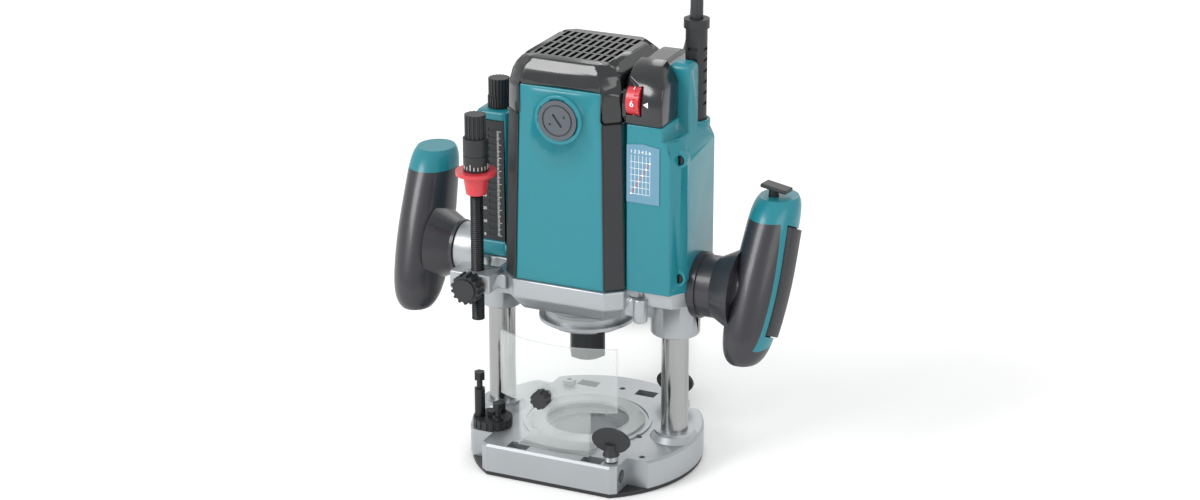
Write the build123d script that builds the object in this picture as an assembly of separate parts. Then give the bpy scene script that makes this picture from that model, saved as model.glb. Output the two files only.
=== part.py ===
from build123d import *
import math
import os

# Plunge router, millimetres. Origin: centre of the base opening at the underside.
# +X runs along the handles, -Y faces the operator, +Z is up.

LOW = (Align.CENTER, Align.CENTER, Align.MIN)
CORNER = (Align.MIN, Align.MIN, Align.MIN)

# --- driving dimensions ---
TRAVEL = 70.0               # plunge stroke
GAP = 0.3                   # clearance between moving bodies

BASE_R = 86.5               # round base
BASE_FRONT = -71.0          # straight front edge
SOLE_T = 3.0
BASE_TOP = 24.0
COLLAR_TOP = 30.4
OPENING_R = 27.5
OPENING_LENGTH = 14.0

COLUMN_X = 70.0
COLUMN_R = 10.0
COLUMN_WALL = 3.0
COLUMN_TOP = 185.0

ROD_R = 5.15                # bores for 10 mm guide rods
ROD_Z = 13.5
ROD_END = 41.5
ROD_FRONT_Y = -60.0
ROD_REAR_Y = 58.0
CLAMP_X = 46.0

TURRET_X, TURRET_Y, TURRET_R = -60.6, -36.3, 14.5
POLE_X, POLE_Y, POLE_R = -64.5, -49.5, 4.8
POLE_END, POLE_TOP = 113.0, 262.0

SHIELD_TOP = 107.0
SHIELD_R = 101.7            # curve of the clear wall
GEAR_Z0, GEAR_Z1 = 128.0, 148.0
BOSS_Z0 = 107.0
MOTOR_TOP = 294.0
COVER_TOP = 312.5
BRUSH_Z = 272.0
SPINDLE_R = 9.0
COLLET_R = 6.0
NUT_BOTTOM = 77.0

BOX_X0, BOX_X1 = 47.0, 88.0
BOX_Y0, BOX_Y1 = -37.0, 32.0
BOX_TOP = 262.0
DIAL_X, DIAL_Y, DIAL_Z, DIAL_R = 52.0, -28.0, 288.0, 12.0

SCREW_R, SCREW_H = 3.0, 3.2  # housing screw heads
BOX_SCREW_Z = (248.0, 160.0)

LEFT_COVER_TOP = 259.0
STEM_Z, STEM_R = 146.5, 20.0
GRIP_X = 134.0
GRIP_LEAN = 6.0             # the grips splay outwards towards the top
SPINE_W, LEVER_W = 34.0, 25.0
LEVER_FLOOR, LEVER_PIN = 7.0, 1.5
LEVER_PIVOT = (12.4, -35.0)  # depth behind the grip's centre, height along the grip
GRIP_FOOT = (-20.0, 102.0)   # y, z of the grip's lower end
GRIP_HEAD = (28.0, 212.0)
CAP_Z = 199.0               # where the grip's cap begins

CORD_R = 4.6
GUARD_X, GUARD_Y = 75.4, 20.0
GUARD_Z0, GUARD_TOP = 258.1, 337.0


# --- helpers ---
def block(x0, x1, y0, y1, z0, z1):
    return Pos(x0, y0, z0) * Box(x1 - x0, y1 - y0, z1 - z0, align=CORNER)


def cyl(radius, z0, z1, x=0.0, y=0.0):
    return Pos(x, y, z0) * Cylinder(radius, z1 - z0, align=LOW)


def cyl_x(radius, x0, x1, y, z):
    return Pos(x0, y, z) * Rot(0, 90, 0) * Cylinder(radius, x1 - x0, align=LOW)


def cyl_y(radius, y0, y1, x, z):
    return Pos(x, y0, z) * Rot(-90, 0, 0) * Cylinder(radius, y1 - y0, align=LOW)


def ring(outer, inner, z0, z1, x=0.0, y=0.0):
    return cyl(outer, z0, z1, x, y) - cyl(inner, z0 - 1, z1 + 1, x, y)


def cone(r0, r1, z0, z1, x=0.0, y=0.0):
    return Pos(x, y, z0) * Cone(r0, r1, z1 - z0, align=LOW)


def hexagon(radius, z0, z1, x=0.0, y=0.0):
    return extrude(Pos(x, y, z0) * RegularPolygon(radius, 6), z1 - z0)


def polygon(points, z):
    return make_face(Polyline([(x, y, z) for x, y in points], close=True))


def prism(points, z0, z1):
    return extrude(polygon(points, z0), z1 - z0, dir=(0, 0, 1))


def fluted(radius, z0, z1, x, y, count, depth):
    body = cyl(radius, z0, z1, x, y)
    for i in range(count):
        a = 2 * math.pi * i / count
        body -= cyl(depth, z0 - 1, z1 + 1, x + radius * math.cos(a), y + radius * math.sin(a))
    return body


def on_circle(count, radius, start=0.0):
    steps = [math.radians(start + 360.0 * i / count) for i in range(count)]
    return [(radius * math.cos(a), radius * math.sin(a)) for a in steps]


def many(parts):
    return Compound(children=[p if isinstance(p, Solid) else p.solid() for p in parts])


def save(name, shape):
    export_step(shape, f"parts/{name}.step")
    print(f"{name:24s} solids {len(shape.solids()):2d}  volume {shape.volume:10.1f}")


# --- base ---
def base_plate():
    body = cyl(BASE_R, SOLE_T, BASE_TOP) & block(-100, 100, BASE_FRONT, 100, 0, 40)
    body = chamfer(body.edges().group_by(Axis.Z)[-1], 1.6)
    body += cyl(34.0, 0, SOLE_T)
    for sx in (-1, 1):
        body += cyl(14.6, BASE_TOP - 1, COLLAR_TOP, sx * COLUMN_X)
        foot = cone(19.0, 14.5, BASE_TOP - 1, 28.0, sx * COLUMN_X)
        body += foot & cyl(BASE_R - 1.7, 20, 30)
        body -= block(min(sx * 54, sx * 95), max(sx * 54, sx * 95), -80, -50, 1, 40)
        body -= block(min(sx * 54, sx * 95), max(sx * 54, sx * 95), 52, 95, 1, 40)
    body += cyl(16.5, 4, BASE_TOP, TURRET_X, TURRET_Y) & block(-100, -40, -50.5, 0, 0, 40)
    body += cyl(5.0, BASE_TOP - 1, 28.0, -40.8, 55.5)
    body += ring(48.0, 45.5, BASE_TOP - 1, 25.2) - block(-29, 29, -62, -30, 0, 40)
    body -= cyl(2.0, 12, 30, -40.8, 55.5)
    body -= cyl(OPENING_R, -1, 30)
    body -= cyl(40.0, OPENING_LENGTH, 30)
    for x, y in ((-26.2, -63.0), (33.0, -63.0), (-27.7, 62.5), (20.5, 62.5)):
        body -= block(x - 8, x + 8, y - 5, y + 5, 12, 30)
    for x, y in ((63.3, -44.0), (47.3, -12.9), (-48.0, 12.0), (0.0, 64.0)):
        body -= cyl(2.2, 14, 30, x, y)
    for y in (ROD_FRONT_Y, ROD_REAR_Y):
        for x0, x1 in ((ROD_END, 70), (-70, -36.5)):
            body -= cyl_x(ROD_R, x0, x1, y, ROD_Z)
        body -= cyl(3.3, ROD_Z, 30, CLAMP_X, y)
    for sx in (-1, 1):
        body -= cyl(COLUMN_R, 8, 40, sx * COLUMN_X)
    for x, y in on_circle(4, 62.0, 45):
        body -= cyl(2.0, 2, 12, x, y)
    body -= cyl(3.0, 10, 30, TURRET_X, TURRET_Y)
    return body.solid()


def base_sole():
    body = cyl(BASE_R - 0.6, 0, SOLE_T) & block(-100, 100, BASE_FRONT + 0.6, 100, -1, 10)
    body -= cyl(34.1, -1, 10)
    for x, y in on_circle(4, 62.0, 45):
        body -= cyl(2.0, -1, 10, x, y)
        body -= cone(4.4, 2.0, -0.01, 2.4, x, y)
    return body.solid()


def sole_screws():
    screws = []
    for x, y in on_circle(4, 62.0, 45):
        screw = cone(4.2, 1.9, 0.1, 2.4, x, y) + cyl(1.9, 2.4, 11.5, x, y)
        screws.append(screw - block(x - 3, x + 3, y - 0.5, y + 0.5, -1, 1.0))
    return many(screws)


def guide_columns():
    tubes = []
    for sx in (-1, 1):
        tube = cyl(COLUMN_R, 8, COLUMN_TOP, sx * COLUMN_X)
        tube -= cyl(COLUMN_R - COLUMN_WALL, 12, COLUMN_TOP + 1, sx * COLUMN_X)
        tubes.append(tube)
    return many(tubes)


def guide_retainer():
    body = ring(39.7, 30.0, OPENING_LENGTH, 16.5)
    for x, y in on_circle(3, 34.0, 90):
        body -= cyl(1.7, 10, 20, x, y)
    return body.solid()


def chip_deflector():
    shell = ring(SHIELD_R, SHIELD_R - 2.2, BASE_TOP, SHIELD_TOP, 0, SHIELD_R - 62.0)
    body = shell & block(-46, 46, -70, -30, BASE_TOP, SHIELD_TOP)
    for sx in (-1, 1):
        body -= block(min(sx * 28, sx * 50), max(sx * 28, sx * 50), -70, -30, 20, 58)
    body += block(-28, 28, -60.5, -36, BASE_TOP, 26.5) - cyl(31.0, 20, 30)
    body += ring(43.0, 31.0, BASE_TOP, 26.5)
    body += cyl_y(8.0, -60.5, -56.5, -6.4, 66.0)
    body -= cyl_y(3.0, -70, -50, -6.4, 66.0)
    return body.solid()


def deflector_screw():
    body = cyl_y(2.9, -63.0, -55.0, -6.4, 66.0)
    knob = cyl_y(6.6, -71.0, -62.6, -6.4, 66.0)
    for x, z in on_circle(10, 6.6):
        knob -= cyl_y(0.9, -72, -60, -6.4 + x, 66.0 + z)
    return (body + knob).solid()


def clamp_springs():
    coils = []
    for y in (ROD_FRONT_Y, ROD_REAR_Y):
        coils.append(ring(5.2, 3.7, BASE_TOP, 29.0, CLAMP_X, y))
    return many(coils)


def clamp_screw(y):
    body = cyl(3.0, 19.0, 30.0, CLAMP_X, y) + cone(6.2, 4.6, 29.3, 34.0, CLAMP_X, y)
    body += cyl(4.6, 34.0, 38.0, CLAMP_X, y)
    plate = Pos(CLAMP_X, y + 1.5, 40.5) * Rot(90, 0, 0) * extrude(Ellipse(14.6, 9.2), 3.0)
    plate -= Pos(CLAMP_X, y - 1.6, 40.5) * Rot(90, 0, 0) * extrude(Ellipse(8.5, 5.0), 1.0)
    return (body + plate).solid()


# --- depth stop turret ---
def turret_points():
    spots = on_circle(3, 9.45, 199.8)
    return [(TURRET_X + x, TURRET_Y + y) for x, y in spots]


def stop_turret():
    body = cyl(TURRET_R, BASE_TOP + GAP, 31.0, TURRET_X, TURRET_Y)
    for x, y in on_circle(18, TURRET_R):
        body -= cyl(1.0, 20, 40, TURRET_X + x, TURRET_Y + y)
    body -= cyl(3.3, 20, 40, TURRET_X, TURRET_Y)
    for x, y in turret_points():
        body -= cyl(2.2, 27, 40, x, y)
    return body.solid()


def turret_pivot():
    body = cyl(3.0, 10.0, 31.5, TURRET_X, TURRET_Y)
    body += hexagon(4.6, 31.4, 35.5, TURRET_X, TURRET_Y)
    return body.solid()


def stop_bolts():
    (x, y), second, third = turret_points()
    tall = cyl(2.2, 27, 61, x, y) + cyl(3.9, 34.0, 53.0, x, y) + hexagon(4.2, 60.0, 66.0, x, y)
    bolts = [tall]
    for (bx, by), top in ((second, 45.0), (third, 38.5)):
        bolts.append(cyl(2.2, 27, top, bx, by) + hexagon(4.2, top - 4.0, top, bx, by))
    return many(bolts)


def stop_nuts():
    nuts = []
    for x, y in turret_points():
        nuts.append(hexagon(4.4, 31.0, 34.0, x, y) - cyl(2.2, 30, 40, x, y))
    return many(nuts)


# --- carriage castings ---
GEAR_PLAN = [(-36, -50), (36, -50), (47, -40), (47, 44), (36, 52), (-36, 52), (-47, 44), (-47, -40)]


def gear_housing():
    belly = [(x * 0.86, y * 0.84) for x, y in GEAR_PLAN]
    body = prism(GEAR_PLAN, 135.0, GEAR_Z1)
    body += loft([polygon(belly, 124.0), polygon(GEAR_PLAN, 135.0)], ruled=True)
    body += cyl(38.0, 120.5, GEAR_Z0 + 1) + cyl(34.0, 116.0, 121.0)
    for sx, r in ((-1, 15.0), (1, 18.0)):
        body += cyl(r, BOSS_Z0, GEAR_Z1, sx * COLUMN_X)
        body += block(min(sx * 40, sx * 72), max(sx * 40, sx * 72), -14, 14, 120, GEAR_Z1)
    body += cyl_x(18.8, 72, BOX_X1, 0, STEM_Z) & block(60, 90, -30, 30, 120, GEAR_Z1)
    body += cyl_x(18.8, -101.5, -83.2, 0, STEM_Z)
    body += cyl_x(18.8, -85, -72, 0, STEM_Z) & block(-90, -60, -30, 30, 120, GEAR_Z1)
    body += prism([(46, -32), (80, -32), (88, -22), (88, 24), (80, 30), (46, 30)], 136, GEAR_Z1)
    body += cyl(5.2, 124.0, 142.0, 56.5, -33.0) + block(46, 56.5, -36, -30, 128, 142)
    body += block(-82, -50, -60, -38, 137, 151)
    body += block(-57, -44, -46, -10, 137, 148)
    body += cyl_y(9.5, 10, 17.0, -COLUMN_X, 128.0)
    body -= cyl(2.3, 120, 150, 56.5, -33.0)
    body -= cyl(POLE_R + GAP, 120, 160, POLE_X, POLE_Y)
    body -= cyl_y(3.3, -70, POLE_Y, POLE_X, 142.0)
    body -= cyl_y(3.3, 11, 30, -COLUMN_X, 128.0)
    body -= cyl_y(4.3, 30, 60, 0, 138.0)
    body -= cyl(36.5, 124, 160)
    body -= cyl(20.0, 110, 130)
    body -= cyl(17.0, 100, 130)
    for sx in (-1, 1):
        body -= cyl(13.0, 100, 170, sx * COLUMN_X)
    for x, y in on_circle(4, 28.5, 45):
        body -= cyl(1.8, 110, 123, x, y)
    return body.solid()


def bearing_retainer():
    body = cyl(32.0, 110.5, 116.0) + cyl(35.5, 108.0, 110.5) + cyl(30.0, 104.0, 108.0)
    body = fillet(body.edges().group_by(Axis.Z)[0], 2.0)
    body -= cyl(17.0, 100, 120)
    body -= cyl(20.0, 110.0, 120)
    for x, y in on_circle(4, 28.5, 45):
        body -= cyl(1.9, 100, 120, x, y)
        body -= cyl(3.5, 100, 109.0, x, y)
        body -= cyl(3.5, 100, 107.0, x * 1.03, y * 1.03)
    return body.solid()


def retainer_screws():
    screws = []
    for x, y in on_circle(4, 28.5, 45):
        screw = cyl(3.3, 106.4, 109.0, x, y) + cyl(1.8, 109.0, 122.0, x, y)
        screws.append(screw - hexagon(1.6, 106, 108.0, x, y))
    return many(screws)


def motor_bearings():
    lower = ring(20.0, SPINDLE_R + 0.05, 110.0, 122.0)
    upper = ring(13.0, 6.05, 283.0, 292.0)
    for bearing, (r, z0, z1) in zip((0, 1), ((14.5, 110, 122), (9.5, 283, 292))):
        groove = ring(r + 2, r - 2, z0 - 1, z0 + 1) + ring(r + 2, r - 2, z1 - 1, z1 + 1)
        lower, upper = (lower - groove, upper) if bearing == 0 else (lower, upper - groove)
    return many([lower, upper])


def column_bushes():
    bushes = []
    for sx in (-1, 1):
        bushes.append(ring(13.0, COLUMN_R + 0.05, BOSS_Z0 + 1, GEAR_Z1, sx * COLUMN_X))
    return many(bushes)


def column_springs():
    tops = {-1: 255.9, 1: 257.9}
    springs = []
    for sx, top in tops.items():
        springs.append(ring(6.2, 4.4, 12.1, top, sx * COLUMN_X))
    return many(springs)


# --- motor ---
HOUSING_LOW = [(-34, -48), (34, -48), (46, -38), (46, 40), (35, 50), (-35, 50), (-46, 40), (-46, -38)]
HOUSING_TOP = [(-31, -45.3), (31, -45.3), (42.5, -36.5), (42.5, 40), (33, 48.5),
               (-33, 48.5), (-42.5, 40), (-42.5, -36.5)]


def grown(points, by):
    return [(x + math.copysign(by, x), y + math.copysign(by, y)) for x, y in points]


def housing_body():
    return loft([polygon(HOUSING_LOW, GEAR_Z1), polygon(HOUSING_TOP, MOTOR_TOP)], ruled=True)


def motor_housing():
    body = housing_body()
    body += cyl_y(18.3, -49.4, -40, 0, BRUSH_Z)
    body += cyl_y(18.3, 40, 51.0, 0, BRUSH_Z)
    body -= cyl(37.5, 140, MOTOR_TOP - 3)
    body -= cyl(30.0, 140, MOTOR_TOP + 1)
    body += cyl(17.0, 283, 292) + block(-36, 36, -3, 3, 286, 292) + block(-3, 3, -36, 36, 286, 292)
    body -= cyl(13.0, 280, 300)
    body -= cyl_y(15.0, -60, 60, 0, BRUSH_Z) - block(-20, 20, -38, 38, 285.9, 300)
    for i in range(7):
        z = 160 + 4.5 * i
        body -= block(-20, 20, 30, 60, z, z + 2.2)
    return body.solid()


def corner_strips():
    strips = []
    for sx in (-1, 1):
        quads = []
        for plan, z in ((HOUSING_LOW, GEAR_Z1), (HOUSING_TOP, MOTOR_TOP)):
            a, b = plan[1], plan[2]
            pts = [(a[0] + 0.6, a[1] + 3), (a[0] + 0.6, a[1] - 0.6), (a[0] + 1.4, a[1] - 0.9),
                   (b[0] + 0.8, b[1] - 1.0), (b[0] + 0.8, b[1] + 1.0), (b[0] - 3, b[1] + 1.0)]
            quads.append(polygon([(sx * x, y) for x, y in pts], z))
        strip = loft(quads, ruled=True) - housing_body()
        strip = strip & block(-60, 60, -60, 0, GEAR_Z1 + 1, 272.0)
        strips.append(strip.solids().sort_by(SortBy.VOLUME)[-1])
    return many(strips)


def top_cover():
    inset = [(x * 0.955, y * 0.955) for x, y in HOUSING_TOP]
    crown = [(x * 0.80, (y - 2) * 0.83) for x, y in HOUSING_TOP]
    lower = loft([polygon(grown(HOUSING_TOP, 0.5), MOTOR_TOP), polygon(inset, 305.0)], ruled=True)
    upper = loft([polygon(inset, 305.0), polygon(crown, COVER_TOP)], ruled=True)
    body = lower + upper
    hollow = [(x * 0.72, y * 0.74) for x, y in HOUSING_TOP]
    body -= prism(hollow, MOTOR_TOP - 1, COVER_TOP - 3.5)
    for sx in (-1, 1):
        quads = []
        for plan, z in ((HOUSING_LOW, GEAR_Z1), (HOUSING_TOP, MOTOR_TOP)):
            a, b = plan[1], plan[2]
            pts = [(a[0] + 0.6, a[1] + 3), (a[0] + 0.6, a[1] - 0.8), (a[0] + 1.4, a[1] - 1.2),
                   (b[0] + 1.1, b[1] - 1.2), (b[0] + 1.1, b[1] + 26), (b[0] - 3, b[1] + 26)]
            quads.append(polygon([(sx * x, y) for x, y in pts], z))
        skirt = (loft(quads, ruled=True) - housing_body()) & block(-60, 60, -60, 0, 272.0, MOTOR_TOP)
        body += skirt.solids().sort_by(SortBy.VOLUME)[-1]
    for x, y in ((-33, -30), (33, -30), (-33, 30), (33, 30)):
        body -= cyl(SCREW_R + 0.05, 305.5, 320, x, y)
    for i in range(11):
        x = -27.5 + 5.5 * i
        for y0, y1 in ((-29, -15), (-13, 1), (3, 17), (19, 31)):
            body -= block(x - 1.5, x + 1.5, y0, y1, 300, 320)
    return body.solid()


def housing_screws():
    spots = [(-33, -30, 305.5), (33, -30, 305.5), (-33, 30, 305.5), (33, 30, 305.5)]
    screws = [cyl(SCREW_R, z, z + SCREW_H, x, y) for x, y, z in spots]
    for z in BOX_SCREW_Z:
        screws.append(cyl_y(SCREW_R, -28.9, -25.7, 83.9, z))
    return many(screws)


def field_core():
    body = ring(37.4, 26.0, 182.0, 252.0)
    for x, y in on_circle(8, 37.4):
        body -= cyl(2.0, 180, 260, x, y)
    body -= block(-40, 40, -4, 4, 186, 248) - cyl(34.0, 180, 260)
    return body.solid()


def brush_holders():
    parts = []
    for sy in (-1, 1):
        y0, y1 = sorted((sy * 16.0, sy * 44.0))
        tube = block(-7, 7, y0, y1, BRUSH_Z - 8, BRUSH_Z + 8)
        parts.append(tube - block(-5, 5, y0 - 1, y1 + 1, BRUSH_Z - 6, BRUSH_Z + 6))
    return many(parts)


def carbon_brushes():
    parts = []
    for sy in (-1, 1):
        y0, y1 = sorted((sy * 14.4, sy * 36.0))
        parts.append(block(-4.9, 4.9, y0, y1, BRUSH_Z - 5.9, BRUSH_Z + 5.9))
    return many(parts)


def brush_caps():
    caps = []
    for sy in (-1, 1):
        face = sy * 50.4
        y0, y1 = sorted((sy * 44.2, face))
        cap = cyl_y(14.6, y0, y1, 0, BRUSH_Z)
        g0, g1 = sorted((face - sy * 1.0, face + sy))
        cap -= cyl_y(11.6, g0, g1, 0, BRUSH_Z) - cyl_y(10.4, g0, g1, 0, BRUSH_Z)
        cap -= Pos(0, face, BRUSH_Z) * Rot(0, -38, 0) * Box(1.8, 3.0, 11.0)
        for x, z in ((5.4, 3.0), (-5.4, -3.0)):
            cap -= cyl_y(1.0, min(face - sy * 0.8, face + sy), max(face - sy * 0.8, face + sy), x, BRUSH_Z + z)
        caps.append(cap)
    return many(caps)


# --- rotor ---
def spindle():
    body = cyl(SPINDLE_R, 99.0, 256.0) + cyl(7.0, 256, 283.0) + cyl(6.0, 283, 293.0)
    body += ring(13.0, 5.0, 122.2, 144.0) + cyl(10.5, 92.0, 105.0)
    body -= cyl(7.95, 90, 103.0)
    return body.solid()


def armature():
    body = ring(25.2, SPINDLE_R, 186.0, 250.0)
    for x, y in on_circle(16, 25.2):
        body -= cyl(1.3, 180, 260, x, y)
    return body.solid()


def commutator():
    body = ring(14.0, 7.0, 262.0, 281.5)
    for x, y in on_circle(16, 14.0):
        body -= cyl(0.35, 264, 290, x, y)
    return body.solid()


def cooling_fan():
    body = ring(34.5, SPINDLE_R, 156.0, 158.5) + ring(13.0, SPINDLE_R, 156.0, 172.0)
    for i in range(14):
        blade = Rot(0, 0, i * 360.0 / 14) * block(12, 34, -0.9, 0.9, 158.0, 170.0)
        body += blade
    return body.solid()


def collet():
    body = cone(8.3, 7.6, NUT_BOTTOM - 0.5, 98.0) - cyl(COLLET_R, 60, 110)
    body += ring(7.4, COLLET_R, 98.0, 102.5)
    for i in range(3):
        body -= Rot(0, 0, 120 * i + 30) * block(5, 12, -0.5, 0.5, 70, 94)
    return body.solid()


def collet_nut():
    body = hexagon(14.4, NUT_BOTTOM + 1.0, 98.7) & cyl(13.6, NUT_BOTTOM, 99)
    body += cyl(11.5, NUT_BOTTOM, 79.0)
    body -= cyl(8.55, 70, 110)
    body -= cyl(10.8, 91.7, 110)
    return body.solid()


# --- right-hand control housing ---
def controller_housing():
    plan = [(BOX_X0, BOX_Y0), (80, BOX_Y0), (BOX_X1, -24), (BOX_X1, 26), (82, BOX_Y1), (BOX_X0, BOX_Y1)]
    body = prism(plan, GEAR_Z1, 250.0)
    crown = [(BOX_X0, BOX_Y0), (76, BOX_Y0), (82, -22), (82, 26), (78, BOX_Y1), (BOX_X0, BOX_Y1)]
    body += loft([polygon(plan, 250.0), polygon(crown, BOX_TOP)], ruled=True)
    body += block(BOX_X0, 74, BOX_Y0, -8.0, BOX_TOP - 1, 272.0)
    post = block(66, 82, -8, 8, BOX_TOP - 1, 311.0)
    post = fillet(post.edges().group_by(Axis.Z)[-1], 5.0)
    body += post
    body += cyl(10.6, BOX_TOP - 3, 264.0, GUARD_X, GUARD_Y)
    hollow = [(49.5, -34), (77.5, -34), (85, -21.5), (85, 25), (80.5, 28.5), (49.5, 28.5)]
    body -= prism(hollow, 140, 246)
    body -= block(50, 79, -24, 28.5, 240, 258)
    body -= cyl(COLUMN_R + 0.6, 240, 257, COLUMN_X)
    body -= cyl(8.0, 250, 280, GUARD_X, GUARD_Y)
    for z in BOX_SCREW_Z:
        body += Pos(82.9, -29.3, z) * Rot(-90, 0, 0) * Cylinder(6.4, 8.0, align=LOW)
        body -= Pos(83.9, -30.9, z) * Rot(-90, 0, 0) * Cylinder(SCREW_R + 0.6, 5.2, align=LOW)
    return body.solid()


def dial_housing():
    side = [(-8, 272), (-38, 272), (-38.4, 287), (-36, 297), (-30, 305), (-21, 311), (-8, 313.5)]
    face = make_face(Polyline([(45.2, y, z) for y, z in side], close=True))
    body = extrude(face, 28.8, dir=(1, 0, 0))
    body -= Pos(74.0, -25, 300.0) * Rot(0, -32, 0) * block(0, 30, -30, 30, -30, 40)
    rear = block(45.2, 64.5, -12.0, 30.0, BOX_TOP, 311.0)
    rear = fillet(rear.edges().group_by(Axis.Z)[-1], 3.0)
    body += rear - block(40, 80, -20, -8.0, 250, 280)
    body -= cyl_x(DIAL_R + 1.0, 46.4, 57.8, DIAL_Y, DIAL_Z)
    body -= cyl_x(2.3, 46, 62, DIAL_Y, DIAL_Z)
    return body.solid()


def speed_dial():
    body = cyl_x(DIAL_R, DIAL_X - 4.7, DIAL_X + 4.7, DIAL_Y, DIAL_Z)
    for y, z in on_circle(24, DIAL_R):
        groove = cyl_x(0.7, DIAL_X + 1.2, DIAL_X + 6, DIAL_Y + y, DIAL_Z + z)
        body -= groove
    body += cyl_x(2.2, DIAL_X + 4, 61.0, DIAL_Y, DIAL_Z)
    return body.solid()


def speed_label():
    pts = [(47.6, 215.5), (72.4, 215.5), (72.4, 257.0), (60.0, 259.0), (47.6, 257.5)]
    face = make_face(Polyline([(x, BOX_Y0, z) for x, z in pts], close=True))
    return extrude(face, 0.8, dir=(0, -1, 0)).solid()


def cord_guard():
    body = cyl(7.8, GUARD_Z0, 331.0, GUARD_X, GUARD_Y) + cyl(9.2, 330.5, GUARD_TOP, GUARD_X, GUARD_Y)
    for i in range(6):
        z = 276.0 + 8.0 * i
        for a in (0, 90):
            slot = Pos(GUARD_X, GUARD_Y, z) * Rot(0, 0, a) * Box(30, 7.0, 2.2)
            body -= slot - cyl(6.4, z - 5, z + 5, GUARD_X, GUARD_Y)
    body -= cyl(CORD_R + GAP, 250, 350, GUARD_X, GUARD_Y)
    return body.solid()


# --- left column cover, scale and pole ---
def left_column_cover():
    body = block(-83, -57, -13.4, 16, GEAR_Z1, LEFT_COVER_TOP)
    body = fillet(body.edges().filter_by(Axis.Z), 5.0)
    body += block(-60, -46.5, -5, 12, GEAR_Z1, 240.0)
    body -= cyl(10.5, 140, 256, -COLUMN_X)
    body -= cyl(3.1, 250, 270, -COLUMN_X)
    body -= block(-79.5, -60.5, -20, -11.6, 160, 252)
    return body.solid()


def depth_scale():
    body = block(-79.3, -60.7, -12.4, -11.6, 160.2, 251.8)
    for i in range(17):
        z = 164 + 5.0 * i
        body -= block(-73.0, -67.0, -13, -12.0, z, z + 2.2)
    return body.solid()


def height_knob():
    body = fluted(8.4, LEFT_COVER_TOP + GAP, 267.5, -COLUMN_X, 0, 24, 0.7)
    upper = fluted(7.8, 267.4, 281.0, -COLUMN_X, 0, 18, 0.8)
    return (body + upper + cyl(3.0, 256.4, 260.0, -COLUMN_X)).solid()


def stop_pole():
    body = cyl(POLE_R, POLE_END, POLE_TOP, POLE_X, POLE_Y)
    body -= cyl(2.0, POLE_END - 1, POLE_END + 4, POLE_X, POLE_Y)
    return body.solid()


def pole_pointer():
    body = cyl(14.7, 223.6, 226.5, POLE_X, POLE_Y) + cone(7.4, 9.6, 209.0, 223.8, POLE_X, POLE_Y)
    for x, y in on_circle(12, 8.6):
        body -= cyl(0.9, 208, 214.0, POLE_X + x, POLE_Y + y)
    body -= cyl(POLE_R, 200, 230, POLE_X, POLE_Y)
    return body.solid()


def fine_knob():
    body = fluted(7.7, 251.0, 268.4, POLE_X, POLE_Y, 16, 0.9)
    body += cyl(9.1, 239.2, 251.0, POLE_X, POLE_Y) + cyl(8.7, 237, 240, POLE_X, POLE_Y)
    body += cyl(9.1, 226.8, 238.0, POLE_X, POLE_Y)
    body -= cyl(POLE_R + 0.1, 200, POLE_TOP + 0.5, POLE_X, POLE_Y)
    return body.solid()


def pole_clamp_knob():
    z = 142.0
    body = cyl_y(3.0, -63.0, -54.8, POLE_X, z)
    knob = cyl_y(11.2, -70.5, -60.4, POLE_X, z)
    for x, dz in on_circle(14, 11.2):
        knob -= cyl_y(1.6, -72, -60, POLE_X + x, z + dz)
    knob += cyl_y(8.0, -72.0, -70.0, POLE_X, z)
    return (body + knob).solid()


# --- handles ---
GRIP_SECTIONS = [(0.0, 11.0, 12.0), (0.04, 14.5, 16.5), (0.14, 17.6, 22.5), (0.34, 19.4, 26.0),
                 (0.58, 19.4, 26.0), (0.80, 18.4, 23.5), (0.94, 17.0, 20.0), (1.0, 14.0, 15.5)]
GRIP_TILT = math.degrees(math.atan2(GRIP_HEAD[0] - GRIP_FOOT[0], GRIP_HEAD[1] - GRIP_FOOT[1]))
FACE_TURN = {1: 84.0, -1: 52.0}  # how far the lever and the left pad face outwards


def grip_shape(sx):
    faces = []
    (fy, fz), (hy, hz) = GRIP_FOOT, GRIP_HEAD
    for t, ax, ay in GRIP_SECTIONS:
        x = sx * (GRIP_X + GRIP_LEAN * (t - 0.5))
        faces.append(Pos(x, fy + t * (hy - fy), fz + t * (hz - fz)) * Ellipse(ax, ay))
    return loft(faces)


def grip_place(sx, out):
    y = (GRIP_FOOT[0] + GRIP_HEAD[0]) / 2
    z = (GRIP_FOOT[1] + GRIP_HEAD[1]) / 2
    lean = math.degrees(math.atan2(GRIP_LEAN, GRIP_HEAD[1] - GRIP_FOOT[1]))
    tilt = Rot(-GRIP_TILT, 0, 0) * Rot(0, sx * lean, 0)
    return Pos(sx * GRIP_X, y, z) * tilt * Rot(0, 0, -sx * FACE_TURN[sx]) * Pos(0, out, 0)


def back_bar(sx, width, length, depth):
    return grip_place(sx, depth) * Box(width, 40, length, align=(Align.CENTER, Align.MIN, Align.CENTER))


def spine_bar(sx):
    return back_bar(sx, SPINE_W, 104.0, 5.0) - block(-200, 200, -100, 100, 0, 114)


def grip(sx):
    body = grip_shape(sx)
    x0 = 88.05 if sx > 0 else 101.5
    radius = 22.5 if sx > 0 else STEM_R
    stem = cyl_x(radius, x0, 126.0, 0, STEM_Z)
    stem += Pos(104.0, 0, STEM_Z) * Rot(0, 90, 0) * Cone(radius, radius + 9.0, 17.0, align=LOW)
    if sx > 0:
        stem += cyl_x(24.0, x0, 93.0, 0, STEM_Z)
        body += stem
    else:
        body += mirror(stem, Plane.YZ)
    body = body & block(-200, 200, -100, 100, 0, CAP_Z)
    body -= spine_bar(sx)
    body -= cyl(5.0, CAP_Z - 10, CAP_Z + 1, sx * GRIP_X, GRIP_HEAD[0] - 3)
    return body.solid()


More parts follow.
